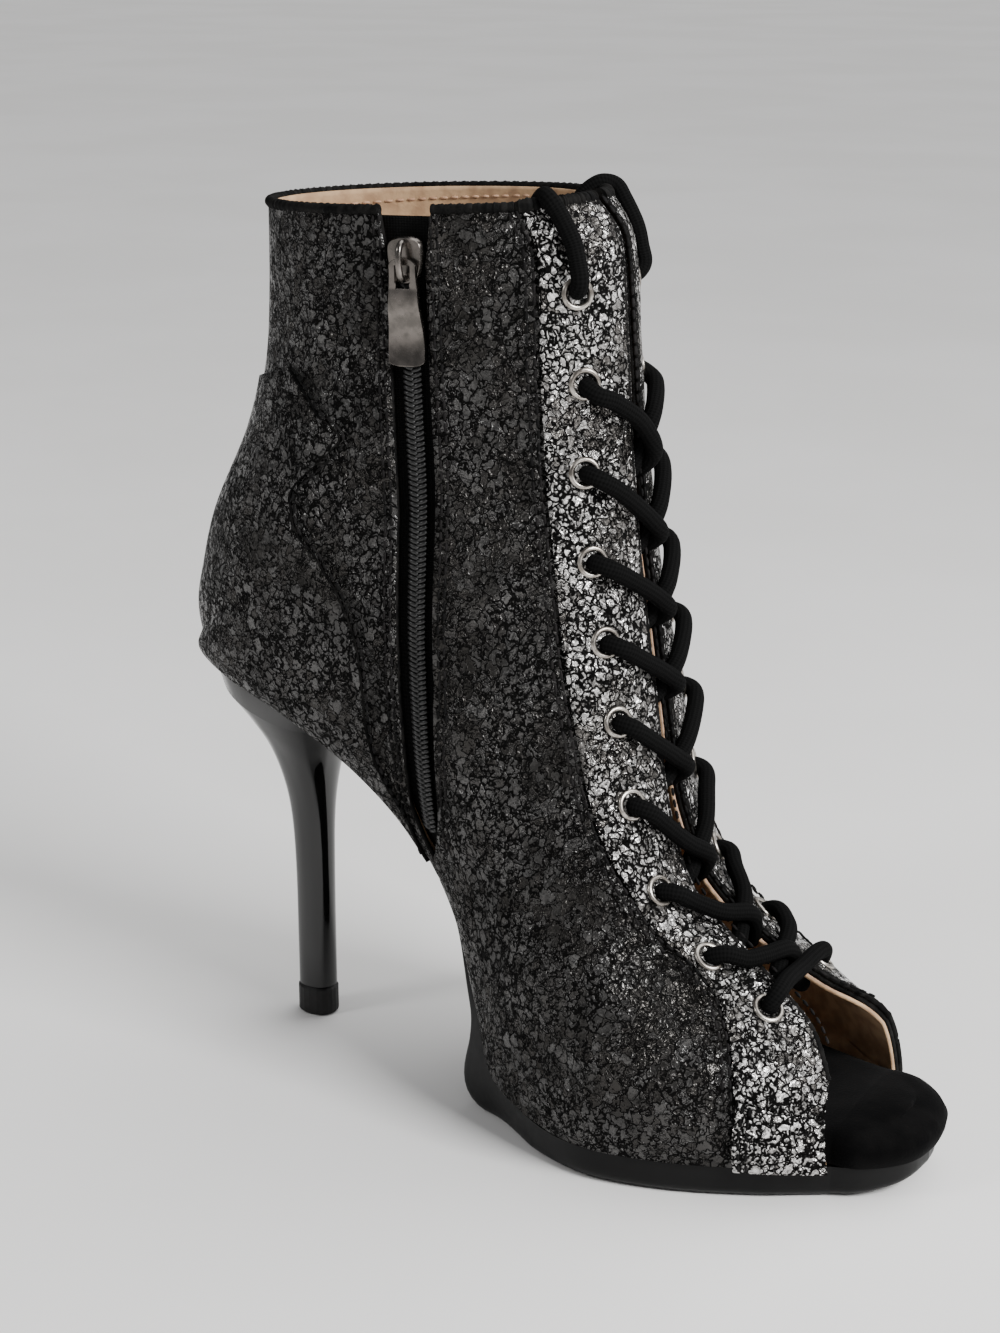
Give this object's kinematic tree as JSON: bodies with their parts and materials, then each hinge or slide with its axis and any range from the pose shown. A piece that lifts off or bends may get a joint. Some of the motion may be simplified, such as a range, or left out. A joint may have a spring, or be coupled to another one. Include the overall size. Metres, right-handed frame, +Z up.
{
  "type": "high heel dance shoe",
  "caption": "Lace-up open-toe ankle boot for dancing, with a stiletto heel, a slim platform, a side zip and crossed laces; an empty left shoe.",
  "frame": {"origin": "centre of the heel tip's bottom face, on the floor", "axes": "+X from the heel to the toe, +Z up, +Y to the lateral side and -Y to the medial side, where the zip is"},
  "size_m": [0.2113, 0.0839, 0.2313],
  "materials": {
    "foil_leather": "crackled metallic foil over black leather",
    "suede": "matte black suede",
    "sole_black": "satin black",
    "heel_gloss": "glossy black lacquer",
    "rubber": "matte black",
    "zip_fabric": "woven black tape",
    "zip_nylon": "black moulded coil",
    "gunmetal": "dark polished gunmetal",
    "aged_silver": "darkened antique silver",
    "lace": "matte black woven round lace"
  },
  "bodies": {
    "shoe": {"upper": "foil_leather", "heel_counter": "foil_leather", "eyestay_medial": "foil_leather", "eyestay_lateral": "foil_leather", "footbed": "suede", "outsole": "sole_black", "heel": "heel_gloss", "heel_tip": "rubber", "zip_tape": "zip_fabric", "zip_coil": "zip_nylon", "zip_slider": "gunmetal", "eyelet_medial_1": "aged_silver", "eyelet_medial_2": "aged_silver", "eyelet_medial_3": "aged_silver", "eyelet_medial_4": "aged_silver", "eyelet_medial_5": "aged_silver", "eyelet_medial_6": "aged_silver", "eyelet_medial_7": "aged_silver", "eyelet_medial_8": "aged_silver", "eyelet_medial_9": "aged_silver", "eyelet_medial_10": "aged_silver", "eyelet_lateral_1": "aged_silver", "eyelet_lateral_2": "aged_silver", "eyelet_lateral_3": "aged_silver", "eyelet_lateral_4": "aged_silver", "eyelet_lateral_5": "aged_silver", "eyelet_lateral_6": "aged_silver", "eyelet_lateral_7": "aged_silver", "eyelet_lateral_8": "aged_silver", "eyelet_lateral_9": "aged_silver", "eyelet_lateral_10": "aged_silver", "lace_crossing_2": "lace", "lace_crossing_3": "lace", "lace_crossing_4": "lace", "lace_crossing_5": "lace", "lace_crossing_6": "lace", "lace_crossing_7": "lace", "lace_crossing_8": "lace", "lace_crossing_9": "lace", "lace_bottom_bar": "lace", "lace_end_medial": "lace", "lace_end_lateral": "lace"},
    "pull_tab": {"zip_pull": "gunmetal"}
  },
  "joints": [
    {"name": "pull_swing", "type": "hinge", "parent": "shoe", "child": "pull_tab", "pos_m": [0.04717, -0.02788, 0.21107], "axis": [-0.9964, -0.0731, -0.0423], "range_deg": [0, 160]}
  ]
}
